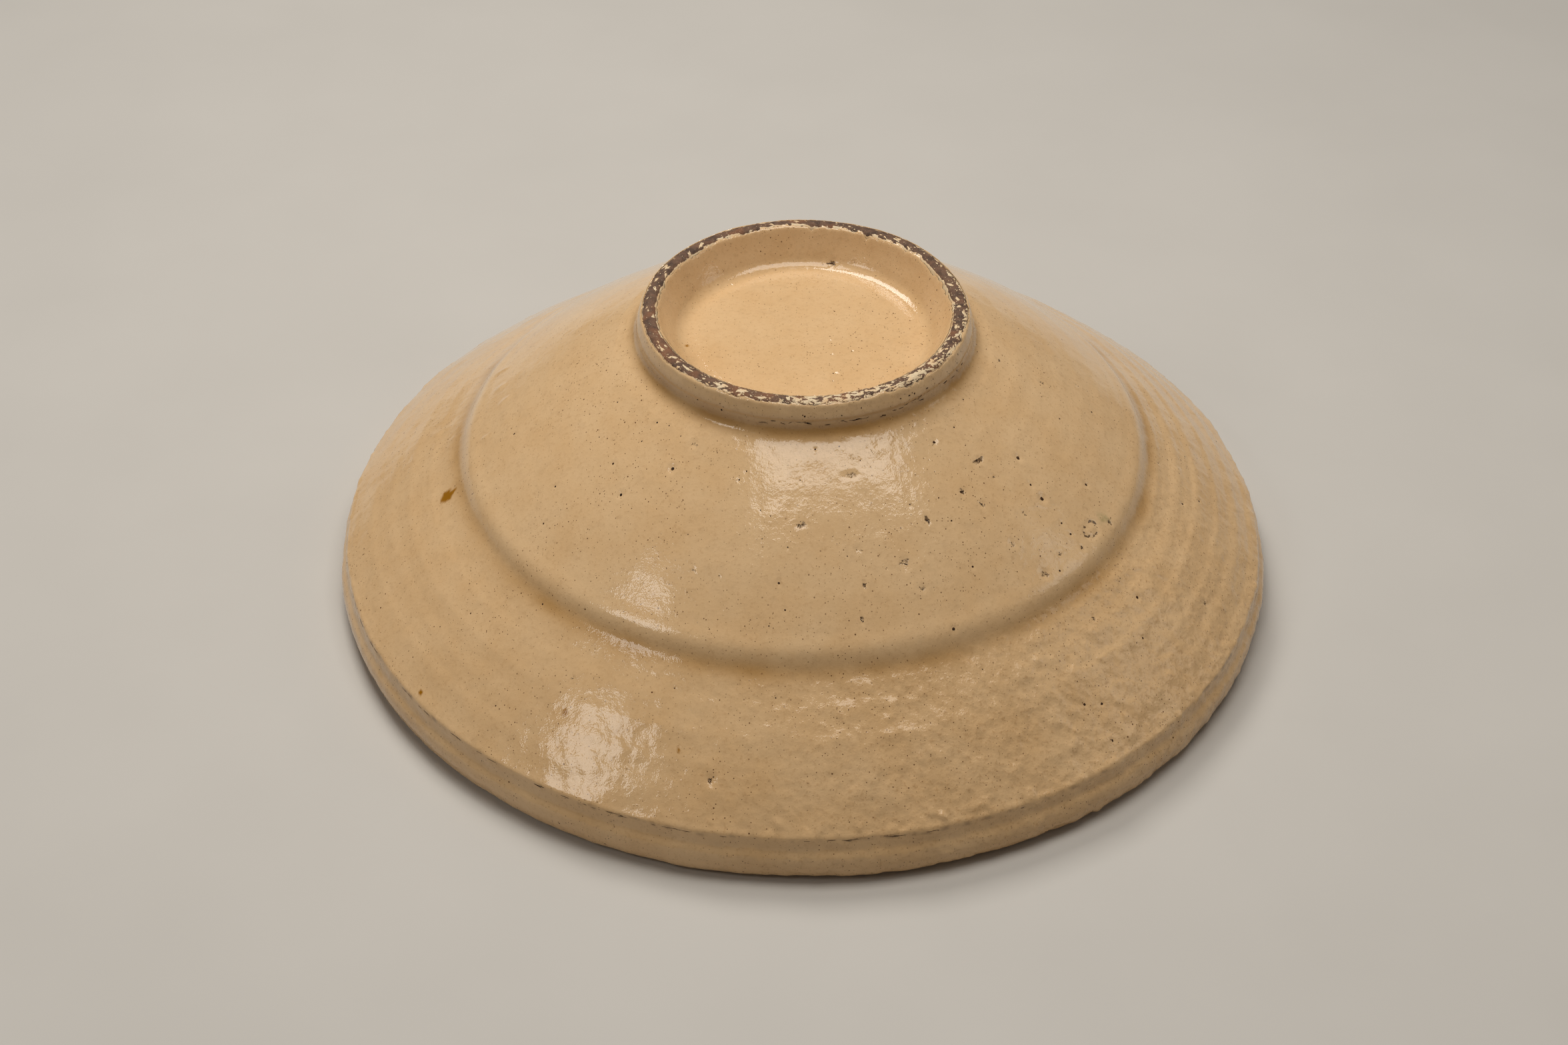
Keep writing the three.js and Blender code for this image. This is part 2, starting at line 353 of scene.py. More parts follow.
def relief(s, theta, radius, height, fine):
    """Height of the real surface over the smooth outline, in millimetres.

    fine adds what only the top of the glaze shows: lumps, drips, streaks and pits.
    """
    x, y = radius * np.cos(theta), radius * np.sin(theta)
    h = zones(s, 0.10, 0.12, 0.17, 0.22, 0.28, 0.14) * noise(x, y, height, 16, 1)
    wander = 0.8 * noise(x, y, height, 60, 2)
    phase = 2 * np.pi * (s - S_GROOVE - RING_START) / RING_PITCH + wander
    thrown = np.cos(phase) + 0.25 * np.cos(2 * phase + 0.9) + 0.15 * np.sin(2.7 * phase + theta)
    strength = 0.5 + 0.4 * noise(x, y, height, 30, 4) + 1.3 * facing(theta, 2, 75)
    h += zones(s, 0.012, 0.02, 0.018, 0.07, 0.05, 0.10) * strength * thrown
    h -= 0.16 * band(s, S_SEAM, 0.55) * (0.5 + 0.5 * facing(theta, ROUGH_AZIMUTH, 110))
    h -= 0.3 * band(s, S_GROOVE + 1.5, 2.4) * facing(theta, -60, 75)
    if not fine:
        return h
    rough = roughness_here(s, theta)
    lumps = zones(s, 0.02, 0.06, 0.05, 0.07, 0.12, 0.03) + 0.13 * rough
    grains = zones(s, 0.008, 0.03, 0.02, 0.028, 0.07, 0.012) + 0.16 * rough
    h += lumps * noise(x, y, height, 4.5, 5)
    h += grains * noise(x, y, height, 1.9, 6)
    h += 0.17 * rough * ramp(noise(x, y, height, 2.7, 8), 0.3, 0.75)
    drawn = band(s, S_ARRIS - 1, 3.5) * (0.4 + 0.6 * facing(theta, ROUGH_AZIMUTH, 110))
    h += 0.42 * drawn * noise(x, y, height, 9, 9)
    drips = band(s, S_ARRIS - 2.5, 2.5) * facing(theta, -74, 44)
    h += 0.32 * drips * ramp(noise(x, y, height, 2.4, 12), 0.1, 0.6)
    beads = band(s, S_ARRIS - 0.3, 0.6) * ramp(noise(x, y, height, 1.8, 13), 0.0, 0.7)
    h += 0.1 * band(s, S_ARRIS - 0.6, 0.7) + 0.18 * beads
    streaks = noise(110 * theta, s / 3.5, 0 * s, 1.5, 7) * zones(s, 0, 0, 0, 1, 0, 0)
    h += (0.035 + 0.03 * rough) * streaks
    return h - np.minimum(pitted(s, theta, radius), DEEPEST_PIT)


def place(s, theta, lift=0.0, fine=True):
    """Points of the pot in metres: at arc length s, turned to theta, lifted off the surface."""
    s, theta = np.broadcast_arrays(np.asarray(s, float), np.asarray(theta, float))
    radius, height, out, up = (np.interp(s, OUTLINE[0], column) for column in OUTLINE[1:])
    stands = relief(s, theta, radius, height, fine) + lift
    r = radius + out * stands
    z = height + up * stands
    r = r * (1 + OVAL * np.cos(2 * theta + 0.8) + THREE_LOBES * np.cos(3 * theta + 2.0))
    tilted = ramp(s, S_CREASE, S_DOME + 10) * (1 - ramp(s, S_GROOVE + 4, S_ARRIS))
    z = z + DOME_TILT * tilted * r * np.cos(theta)
    r = np.minimum(r, RIM_RADIUS - LIP_MARGIN)
    over = np.maximum(z - HEIGHT + SQUEEZE, 0) / SQUEEZE
    z = np.where(over > 0, HEIGHT - SQUEEZE + SQUEEZE * np.tanh(over), np.maximum(z, LOWEST))
    return np.stack([r * np.cos(theta), r * np.sin(theta), z], axis=-1) * MM


# ---------------------------------------------------------------- meshes


def turned_faces(rows, cols, closed, poles):
    """Loop indices and face starts of a grid that wraps round, with all faces pointing out."""
    spans = rows if closed else rows - 1
    i = np.arange(spans)[:, None] * cols
    below = ((np.arange(spans)[:, None] + 1) % rows) * cols
    j = np.arange(cols)[None, :]
    beside = (j + 1) % cols
    quads = np.stack([i + j, below + j, below + beside, i + beside], axis=-1).reshape(-1, 4)
    loops, sizes = [quads.ravel()], [np.full(len(quads), 4)]
    if poles:
        first, last = rows * cols, rows * cols + 1
        j, beside, end = np.arange(cols), (np.arange(cols) + 1) % cols, (rows - 1) * cols
        loops.append(np.stack([np.full(cols, first), j, beside], axis=1).ravel())
        loops.append(np.stack([end + j, np.full(cols, last), end + beside], axis=1).ravel())
        sizes.append(np.full(2 * cols, 3))
    sizes = np.concatenate(sizes)
    return np.concatenate(loops), np.concatenate([[0], np.cumsum(sizes)[:-1]])


def piece(name, points, loops, starts, look, nodes, layers=None, normals=None):
    """A finished object of the pot: its mesh, material, body and the CAD nodes it shows."""
    mesh = bpy.data.meshes.new(name)
    mesh.vertices.add(len(points))
    mesh.vertices.foreach_set("co", np.ascontiguousarray(points, np.float32).ravel())
    mesh.loops.add(len(loops))
    mesh.loops.foreach_set("vertex_index", loops.astype(np.int32))
    mesh.polygons.add(len(starts))
    mesh.polygons.foreach_set("loop_start", starts.astype(np.int32))
    mesh.update(calc_edges=True)
    mesh.shade_smooth()
    for key, values in (layers or {}).items():
        layer = mesh.attributes.new(key, "FLOAT", "POINT")
        layer.data.foreach_set("value", values.astype(np.float32))
    if normals is not None:
        mesh.normals_split_custom_set_from_vertices(normals.tolist())
    mesh.materials.append(look)
    thing = bpy.data.objects.new(name, mesh)
    bpy.context.scene.collection.objects.link(thing)
    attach(thing, "root")
    if nodes:
        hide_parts(*nodes)
    return thing


def grid_normals(grid):
    """Outward unit normals of a grid of points that wraps round in its columns."""
    along = np.gradient(grid, axis=0)
    across = np.roll(grid, -1, axis=1) - np.roll(grid, 1, axis=1)
    n = np.cross(along, across)
    return n / np.maximum(np.linalg.norm(n, axis=-1, keepdims=True), 1e-12)


def turned(cols):
    """The angles of the columns of a grid that wraps round."""
    return np.linspace(-np.pi, np.pi, cols, endpoint=False)


def glaze_layers(s, theta):
    """How each point of a glaze is coloured: stains, pools that also paint shade, thin edges and
    rough ground.
    """
    radius = np.interp(s, OUTLINE[0], OUTLINE[1])
    height = np.interp(s, OUTLINE[0], OUTLINE[2])
    x, y = radius * np.cos(theta), radius * np.sin(theta)
    broken = 0.5 + 0.5 * noise(x, y, height, 0.9, 21)
    frayed = 0.45 * noise(x, y, height, 1.2, 24)
    amber, soot, green = np.zeros(s.size), np.zeros(s.size), np.zeros(s.size)
    for mark in AMBER_STAINS:
        at, away = near(s, theta, radius, spot(*mark), 1.8)
        amber[at] = np.maximum(amber[at], 1 - ramp(away + frayed.ravel()[at], 0.75, 1.15))
    for azimuth, at_radius, wide, long, dark in BURSTS:
        at, away = near(s, theta, radius, spot(azimuth, at_radius, wide, long), 2.4)
        scorched = (0.45 + 0.5 * dark) * (1 - ramp(away + 1.8 * frayed.ravel()[at], 0.4, 1.4))
        soot[at] = np.maximum(soot[at], scorched * (0.7 + 0.3 * broken.ravel()[at]))
    at, away = near(s, theta, radius, spot(*BLISTER), 2.0)
    ring = band(away + 0.6 * frayed.ravel()[at], 1, 0.15)
    ring *= ramp(broken.ravel()[at], 0.1, 0.45)
    soot[at] = np.maximum(soot[at], ring)
    at, away = near(s, theta, radius, spot(*GREEN_STAIN), 2.0)
    green[at] = (1 - ramp(away + frayed.ravel()[at], 0.2, 1.3)) * broken.ravel()[at]
    # Glaze pools in the crease, the groove and the well's fillet. The crease and groove bands are
    # made darker still as painted shade, and the term that faces the front paints shade on the
    # flange and rim.
    pooled_glaze_and_shade = 1.05 * band(s, S_CREASE - 1.6, 2.8) + 0.75 * band(s, S_GROOVE + 0.3, 2.8)
    pooled_glaze_and_shade += 0.25 * band(s, well_s(35.4), 3.0) + zones(s, 0.08, 0, 0, 0.1, 0.1, 0)
    pooled_glaze_and_shade += 0.16 * zones(s, 0, 0, 0, 1, 1, 0) * facing(theta, -80, 90)
    pooled_glaze_and_shade *= 0.8 + 0.4 * noise(x, y, height, 9, 22)
    worn = ramp(noise(x, y, height, 1.9, 23) + 0.5 * noise(x, y, height, 14, 25), 0.1, 0.7)
    thin = band(s, S_ARRIS + 0.45, 0.4) * worn
    return {
        "amber": amber,
        "soot": soot,
        "green": green,
        "pooled_glaze_and_shade": pooled_glaze_and_shade.ravel(),
        "thin": thin.ravel(),
        "rough": roughness_here(s, theta).ravel(),
    }


def rows(start, end, gap, slack=0.02):
    """Arc lengths from start to end at most gap apart, closer where the outline bends.

    slack is how far, in millimetres, a chord between two of them may stray from the outline.
    """
    s = np.linspace(start, end, max(2, round((end - start) / STEP) + 1))
    normal = np.stack([np.interp(s, OUTLINE[0], OUTLINE[k]) for k in (3, 4)])
    bend = np.hypot(*np.gradient(normal, s, axis=1))
    density = np.maximum(1 / gap, np.sqrt(bend / (8 * slack)))
    count = np.concatenate([[0], np.cumsum((density[1:] + density[:-1]) / 2 * np.diff(s))])
    steps = max(1, math.ceil(count[-1]))
    return np.interp(np.linspace(0, count[-1], steps + 1), count, s)


# The underside of a coat has fewer rings than its top, at most this far apart
UNDERSIDE_GAP = 6.0


def coat(name, s_rows, cols, slot, node, axis=None, taper=0.0, beyond=None):
    """A coat of the glaze or the slip: a closed shell.

    s_rows has one arc length, or one for each column, for each ring of points. axis says which
    end of the rows meets the dish's axis, "first" or "last". taper sinks the top besides.
    beyond is the arc length of the neighbour's ring past each end, so that the shading runs on.
    """
    depth, under, look = COATS[slot]
    fine = slot == "glaze"
    theta = turned(cols)
    s = np.stack([np.broadcast_to(row, cols) for row in s_rows])
    turn = np.broadcast_to(theta, s.shape)
    first, last = beyond or (s_rows[0], s_rows[-1])
    with_ends = np.vstack([np.broadcast_to(first, cols), s, np.broadcast_to(last, cols)])
    sunk = np.broadcast_to(depth + taper, s.shape)
    sunk_ends = np.vstack([sunk[:1], sunk, sunk[-1:]])
    wide = place(with_ends, np.broadcast_to(theta, with_ends.shape), -sunk_ends, fine)
    normals = grid_normals(wide)[1:-1]
    middle = s.mean(axis=1)
    kept = np.interp(rows(middle[0], middle[-1], UNDERSIDE_GAP, 0.04), middle, np.arange(len(s)))
    pick = np.unique(kept.round().astype(int))[::-1]
    bottom = place(s[pick], turn[pick], -under, fine=False)
    parts = [(wide[1:-1], normals, s, turn), (bottom, -normals[pick], s[pick], turn[pick])]
    if axis == "last":
        parts.reverse()
    points, normals, s, turn = (np.concatenate(group) for group in zip(*parts))
    loops, starts = turned_faces(len(points), cols, axis is None, axis is not None)
    points, normals = points.reshape(-1, 3), normals.reshape(-1, 3)
    layers = glaze_layers(s, turn) if slot == "glaze" else {}
    if axis:
        side = 1 if axis == "first" else -1
        centre = np.full(2, 0.0 if axis == "first" else S_END)
        ends = place(centre, np.zeros(2), -np.array([depth, under])[::side], fine=False)
        points = np.vstack([points, ends])
        normals = np.vstack([normals, [[0, 0, 1], [0, 0, -1]]])
        layers = {key: np.append(values, [0, 0]) for key, values in layers.items()}
    return piece(name, points, loops, starts, look, [node], layers, normals)


def solid(name, runs, cols, node, poles=False, lifts=None):
    """A body of clay under the coats, from rings at each arc length of each run.

    poles closes it on the dish's axis. lifts says how far the clay comes up between the coats.
    """
    theta = turned(cols)
    s = np.concatenate(runs)[:, None]
    lift = -CLAY_TOP if lifts is None else lifts(s, theta)
    points = place(s, theta, lift, fine=lifts is not None).reshape(-1, 3)
    if poles:
        points = np.vstack([points, place([0.0, S_END], [0.0, 0.0], -CLAY_TOP, fine=False)])
    loops, starts = turned_faces(len(s), cols, not poles, poles)
    return piece(name, points, loops, starts, CLAY_LOOK, [node])


# ---------------------------------------------------------------- ragged edges on the foot


def ragged(theta, seed):
    """How far a coat's edge strays over the bare clay of the foot ring, in millimetres."""
    x, y, z = 43 * np.cos(theta), 43 * np.sin(theta), np.zeros_like(theta)
    stray = 0.4 * noise(x, y, z, 9, seed) + 0.45 * noise(x, y, z, 2.6, seed + 1)
    stray += 0.4 * noise(x, y, z, 0.9, seed + 2)
    tongues = ramp(noise(x, y, z, 4.2, seed + 3), 0.25, 0.7)
    return stray + 1.1 * tongues * (0.6 + 0.4 * noise(x, y, z, 0.7, seed + 4))


def well_edge(theta, back_off):
    """Where a coat of the well ends: it runs further out at the back, but for a few chips."""
    chips = 1.7 * facing(theta, 64, 3.2) + 0.9 * facing(theta, 80, 2) + 0.8 * facing(theta, 87, 2)
    spread = 0.9 * facing(theta, 95, 75) - chips - 0.25
    return S_WELL_EDGE + spread - back_off * (1 + ragged(theta, 61)) + 0.9 * ragged(theta, 41)


def back_edge(theta, back_off):
    """Where a coat of the back starts, below the bare band: it strays most in front."""
    front = facing(theta, -40, 80)
    return S_BACK_EDGE + 0.2 + back_off - (0.7 + 0.5 * front) * ragged(theta, 51)


# Rings this close to a coat's edge are drawn over to follow it
EDGE_REACH = 3.0


def drawn_to(base, edge, at):
    """Rings at the base arc lengths, drawn over so that the last or first follows the edge."""
    pull = np.clip(1 - np.abs(base - at) / EDGE_REACH, 0, 1)[:, None]
    return base[:, None] + pull * (edge - at)[None, :]


def edge_taper(s_rows, edge):
    """How much thinner a coat is near its edge, in millimetres."""
    return 0.2 * np.exp(-np.abs(s_rows - edge[None, :]) / 0.5)


# ---------------------------------------------------------------- small bodies on the surface


def flecks(name, spots, look, frayed=0.3, sides=14, ground=None):
    """Thin closed scabs lying on the pot, or on a ground that says how far it is lifted.

    Each spot is (s, theta, half length, half width, turn, thickness), in millimetres and
    radians. frayed is how rough the outlines are.
    """
    spots = np.array(spots)
    count = len(spots)
    s0, theta0, long, wide, turn, thick = spots.T[:, :, None]
    around = np.linspace(0, 2 * np.pi, sides, endpoint=False)[None, :]
    ragged_rim = np.random.default_rng(17).uniform(-1, 1, (count, sides))
    rough = 1 + frayed * (ragged_rim + 0.5 * np.roll(ragged_rim, 1, axis=1))

    def lifted(s, theta, rise):
        base = 0.0 if ground is None else ground(s, theta)
        return place(s, theta, base + thick * rise)

    rings = []
    for shrink, rise in ((0.95, -1.0), (1.0, 0.3), (0.86, 1.0)):
        u = long * rough * shrink * np.cos(around)
        v = wide * rough * shrink * np.sin(around)
        along = u * np.cos(turn) - v * np.sin(turn)
        across = u * np.sin(turn) + v * np.cos(turn)
        radius = np.maximum(np.interp(s0 + across, OUTLINE[0], OUTLINE[1]), 1.0)
        rings.append(lifted(s0 + across, theta0 + along / radius, rise))
    caps = [lifted(s0, theta0, rise) for rise in (-1.1, 1.05)]
    points = np.concatenate([*rings, *caps], axis=1)
    per = points.shape[1]
    k = np.arange(sides)
    n = (k + 1) % sides
    walls = [np.stack([k + a, k + b, n + b, n + a], 1) for a, b in ((0, sides), (sides, 2 * sides))]
    low = np.stack([np.full(sides, 3 * sides), k, n], 1)
    high = np.stack([k + 2 * sides, np.full(sides, 3 * sides + 1), n + 2 * sides], 1)
    loops = np.concatenate([w.ravel() for w in (*walls, low, high)])
    sizes = np.concatenate([np.full(2 * sides, 4), np.full(2 * sides, 3)])
    loops = (np.arange(count)[:, None] * per + loops[None, :]).ravel()
    sizes = np.tile(sizes, count)
    starts = np.concatenate([[0], np.cumsum(sizes)[:-1]])
    return piece(name, points.reshape(-1, 3), loops, starts, look, [])


# ---------------------------------------------------------------- materials


class Look:
    """A material being built: every call adds a node and returns the output asked for."""

    def __init__(self, name):
        self.material = bpy.data.materials.new(name)
        self.material.use_nodes = True
        self.tree = self.material.node_tree
        self.tree.nodes.clear()
        where = self.node("ShaderNodeTexCoord")
        self.mm = self.node("ShaderNodeVectorMath", "Vector", operation="SCALE",
                            Vector=where.outputs["Object"], Scale=1 / MM)

    def node(self, kind, output=None, **settings):
        """Adds a node; settings are its inputs, with _ for a space, or its own properties."""
        made = self.tree.nodes.new(kind)
        for key, value in settings.items():
            socket = made.inputs.get(key.replace("_", " "))
            if socket is None and hasattr(made, key):
                setattr(made, key, value)
            elif isinstance(value, bpy.types.NodeSocket):
                self.tree.links.new(value, socket)
            else:
                socket.default_value = value
        return made.outputs[output] if output else made

    def layer(self, name):
        """A value that the mesh holds at each point."""
        return self.node("ShaderNodeAttribute", "Fac", attribute_name=name)

    def noise(self, size, detail=2.0, rough=0.5):
        """Fractal noise from 0 to 1 with lumps of a size in millimetres."""
        return self.node("ShaderNodeTexNoise", "Fac", Vector=self.mm, Scale=1 / size,
                         Detail=detail, Roughness=rough)

    def feed(self, sockets, values):
        """Links or sets each socket to its value."""
        for socket, value in zip(sockets, values):
            if isinstance(value, bpy.types.NodeSocket):
                self.tree.links.new(value, socket)
            else:
                socket.default_value = value

    def math(self, operation, a, b=0.0):
        """The result of one sum on two values."""
        made = self.tree.nodes.new("ShaderNodeMath")
        made.operation = operation
        self.feed(made.inputs, (a, b))
        return made.outputs[0]

    def remap(self, value, low, high, start=0.0, end=1.0):
        """value from low..high to start..end, smooth and clamped."""
        made = self.node("ShaderNodeMapRange", interpolation_type="SMOOTHSTEP", Value=value)
        limits = {"From Min": low, "From Max": high, "To Min": start, "To Max": end}
        for key, number in limits.items():
            made.inputs[key].default_value = number
        return made.outputs["Result"]

    def mix(self, amount, a, b):
        """The colour a, turning to b as the amount goes from 0 to 1."""
        made = self.tree.nodes.new("ShaderNodeMix")
        made.data_type = "RGBA"
        self.feed((made.inputs[0], made.inputs[6], made.inputs[7]), (amount, a, b))
        return made.outputs[2]

    def scaled(self, value, by):
        return self.math("MULTIPLY", value, by)

    def specks(self, spacing, largest, seed):
        """1 inside scattered dots, one or none in each cell of the spacing."""
        shifted = self.node("ShaderNodeVectorMath", "Vector", operation="ADD", Vector=self.mm)
        shifted.node.inputs[1].default_value = (seed, seed * 2.3, seed * 0.7)
        cells = self.node("ShaderNodeTexVoronoi", feature="F1", Vector=shifted, Scale=1 / spacing)
        pick = self.node("ShaderNodeSeparateColor", Color=cells.outputs["Color"])
        size = self.math("POWER", pick.outputs[0], 2.0)
        size = self.scaled(size, largest / spacing)
        inside = self.math("SUBTRACT", size, cells.outputs["Distance"])
        return self.remap(inside, 0.0, 0.12 * largest / spacing)

    def bump(self, height, depth):
        """A normal that follows a height, which stands for so many millimetres."""
        return self.node("ShaderNodeBump", "Normal", Height=height, Distance=depth * MM)

    def finish(self, **settings):
        """Adds the shader and the output."""
        shader = self.node("ShaderNodeBsdfPrincipled", "BSDF", **settings)
        self.node("ShaderNodeOutputMaterial", Surface=shader)
        return self.material


def srgb(red, green, blue):
    """A linear colour with alpha, from 0..255 screen values."""
    parts = [v / 255 for v in (red, green, blue)]
    return (*(p / 12.92 if p <= 0.04045 else ((p + 0.055) / 1.055) ** 2.4 for p in parts), 1.0)


CREAM = srgb(229, 193, 147)
CREAM_WARM = srgb(216, 174, 122)
# The next colour is both pooled glaze and painted shade, for the crease, the groove and the front
# of the flange and rim.
POOL_AND_SHADE = srgb(174, 128, 66)
AMBER = srgb(158, 104, 8)
SOOT = srgb(78, 50, 26)
GREEN = srgb(122, 132, 82)
THIN = srgb(104, 76, 50)
SPECK = srgb(98, 62, 32)
GRAIN = srgb(158, 112, 62)
SLIP = srgb(228, 206, 170)
CLAY = srgb(120, 89, 68)
CLAY_DARK = srgb(76, 55, 42)
CLAY_RED = srgb(140, 92, 60)
IRON = srgb(27, 19, 13)


def glaze_look():
    """Glossy cream glaze: warmer and darker where it pools and where shade is painted, speckled,
    and scorched at bursts.
    """
    look = Look("cream_glaze")
    rough = look.layer("rough")
    colour = look.mix(look.remap(look.noise(14, 4.0, 0.6), 0.3, 0.75, 0.0, 0.45), CREAM, CREAM_WARM)
    # Real glaze pooling, and painted shade in the crease, the groove and on the front of the flange
    # and rim.
    colour = look.mix(look.scaled(look.layer("pooled_glaze_and_shade"), 0.75), colour, POOL_AND_SHADE)
    grain = look.remap(look.noise(1.1, 4.0, 0.65), 0.5, 0.75, 0.0, 0.3)
    grain = look.scaled(grain, look.remap(rough, 0, 1, 0.8, 1.4))
    colour = look.mix(grain, colour, GRAIN)
    mottle = look.remap(look.noise(3.2, 3.0, 0.6), 0.48, 0.75, 0.0, 0.07)
    colour = look.mix(mottle, colour, THIN)
    many = look.remap(look.noise(30, 2.0), 0.4, 0.62, 0.45, 0.9)
    for spacing, largest, seed in ((0.75, 0.19, 3.0), (1.5, 0.26, 5.0)):
        dots = look.scaled(look.specks(spacing, largest, seed), many)
        colour = look.mix(dots, colour, SPECK)
    colour = look.mix(look.specks(6.0, 0.3, 9.0), colour, SPECK)
    colour = look.mix(look.scaled(look.layer("thin"), 0.7), colour, THIN)
    scorched = look.math("ADD", look.layer("soot"), look.noise(0.8, 3.0, 0.6))
    scorched = look.remap(scorched, 0.95, 1.35)
    colour = look.mix(look.scaled(scorched, 0.85), colour, SOOT)
    colour = look.mix(look.scaled(look.layer("green"), 0.5), colour, GREEN)
    colour = look.mix(look.layer("amber"), colour, AMBER)
    peel = look.scaled(look.noise(1.1, 1.0, 0.45), look.remap(rough, 0, 1, 0.045, 0.12))
    fine = look.scaled(look.noise(0.4, 1.0), look.remap(rough, 0, 1, 0.024, 0.045))
    skin = look.math("SUBTRACT", look.math("ADD", peel, fine), look.scaled(scorched, 0.16))
    bump = look.bump(skin, 1.0)
    gloss = look.remap(look.noise(6, 3.0), 0.3, 0.75, 0.03, 0.08)
    gloss = look.math("ADD", gloss, look.scaled(rough, 0.14))
    sheen = look.remap(rough, 0, 1, 0.5, 0.3)
    return look.finish(
        Base_Color=colour, Roughness=gloss, IOR=1.5, Specular_IOR_Level=sheen, Normal=bump,
    )


def slip_look():
    """Matt off-white slip."""
    look = Look("white_slip")
    colour = look.mix(look.remap(look.noise(3, 3.0), 0.35, 0.7), SLIP, CREAM)
    bump = look.bump(look.noise(0.6, 3.0), 0.08)
    return look.finish(Base_Color=colour, Roughness=0.5, Normal=bump)


def clay_look():
    """Bare gritty clay, reddened in places and dusted with slip."""
    look = Look("dark_stoneware")
    colour = look.mix(look.remap(look.noise(2.2, 4.0, 0.65), 0.35, 0.7), CLAY, CLAY_DARK)
    colour = look.mix(look.remap(look.noise(7, 2.0), 0.5, 0.72, 0.0, 0.8), colour, CLAY_RED)
    dust = look.remap(look.noise(0.55, 3.0, 0.7), 0.6, 0.72, 0.0, 0.55)
    colour = look.mix(dust, colour, SLIP)
    bump = look.bump(look.noise(0.5, 4.0, 0.7), 0.25)
    return look.finish(Base_Color=colour, Roughness=0.75, Normal=bump)


def iron_look():
    """Burnt iron and soot."""
    look = Look("burnt_iron")
    colour = look.mix(look.remap(look.noise(0.5, 2.0), 0.35, 0.65), IRON, SOOT)
    return look.finish(Base_Color=colour, Roughness=0.7, Specular_IOR_Level=0.2)


GLAZE_LOOK = glaze_look()
SLIP_LOOK = slip_look()
CLAY_LOOK = clay_look()
IRON_LOOK = iron_look()

# Each kind of coat: its top and underside in millimetres below the surface, and its material
COATS = {
    "glaze": (0.0, GLAZE, GLAZE_LOOK),
    "slip": (SLIP_TOP, SLIP_UNDER, SLIP_LOOK),
}


# ---------------------------------------------------------------- the dish

# Columns round the pot: on what is seen, and on what the glaze hides
FINE_COLS = 1152
PLAIN_COLS = 384

# Where the foot ring's seat starts and ends, the slit round it, and the other slits' half width
SEAT_INSIDE = s_at(34.0, WELL_FLOOR + 0.6)
SEAT_OUTSIDE = S_DOME
SLIT = 0.3
CLAY_SLIT = 0.1
COAT_SLIT = 0.05


def bared(s, theta):
    """How far the foot ring's clay is lifted: up to the bare, gritty band between the coats."""
    radius, height = (np.interp(s, OUTLINE[0], OUTLINE[k]) for k in (1, 2))
    x, y = radius * np.cos(theta), radius * np.sin(theta)
    bare = ramp(s, S_WELL_EDGE - 1.2, S_WELL_EDGE) * (1 - ramp(s, S_BACK_EDGE, S_BACK_EDGE + 1.2))
    coarse = 0.09 * noise(x, y, height, 1.3, 31) + 0.07 * noise(x, y, height, 0.55, 32)
    gouges = 0.12 * ramp(noise(x, y, height, 2.4, 33), 0.35, 0.7)
    return bare * (0.15 + coarse - gouges) - CLAY_TOP


def clay_bodies():
    """The three pieces of clay."""
    solid(
        "dish_wall_clay",
        [rows(1.0, SEAT_INSIDE - SLIT, 3.0),
         rows(SEAT_OUTSIDE + SLIT, S_RIM_SEAM - CLAY_SLIT, 3.0),
         rows(S_BOWL_SEAM + CLAY_SLIT, S_END - 1.0, 3.0)],
        PLAIN_COLS, "dish_wall", poles=True,
    )
    solid(
        "rim_band_clay", [rows(S_RIM_SEAM + CLAY_SLIT, S_BOWL_SEAM - CLAY_SLIT, 2.0)],
        PLAIN_COLS, "rim_band",
    )
    solid(
        "foot_ring_clay",
        [rows(SEAT_INSIDE, S_WELL_EDGE - 1.8, 2.0),
         rows(S_WELL_EDGE - 1.6, S_BACK_EDGE + 1.6, 0.16),
         rows(S_BACK_EDGE + 1.8, SEAT_OUTSIDE, 2.0)],
        FINE_COLS, "foot_ring", lifts=bared,
    )


def slip_coats():
    """The slip, just over the clay and smooth, since the glaze hides all but its edges."""
    theta = turned(FINE_COLS)
    base = np.concatenate([
        rows(1.5, S_WELL_EDGE - 3.3, 2.0), rows(S_WELL_EDGE - 3.0, S_WELL_EDGE, 0.25),
    ])
    rings = drawn_to(base, well_edge(theta, 0.0), S_WELL_EDGE)
    coat("well_slip_coat", rings, FINE_COLS, "slip", "well_slip", axis="first")
    base = np.concatenate([
        rows(S_BACK_EDGE, S_BACK_EDGE + 3.0, 0.3),
        rows(S_BACK_EDGE + 3.3, S_RIM_SEAM - COAT_SLIT, 5.0),
    ])
    rings = drawn_to(base, back_edge(theta, 0.0), S_BACK_EDGE)
    coat("back_slip_coat", rings, FINE_COLS, "slip", "back_slip")
    rim = rows(S_RIM_SEAM + COAT_SLIT, S_BOWL_SEAM - COAT_SLIT, 2.0)
    coat("rim_slip_coat", rim, PLAIN_COLS, "slip", "rim_slip")
    bowl = rows(S_BOWL_SEAM + COAT_SLIT, S_END - 1.0, 3.0)
    coat("bowl_slip_coat", bowl, PLAIN_COLS, "slip", "bowl_slip", axis="last")


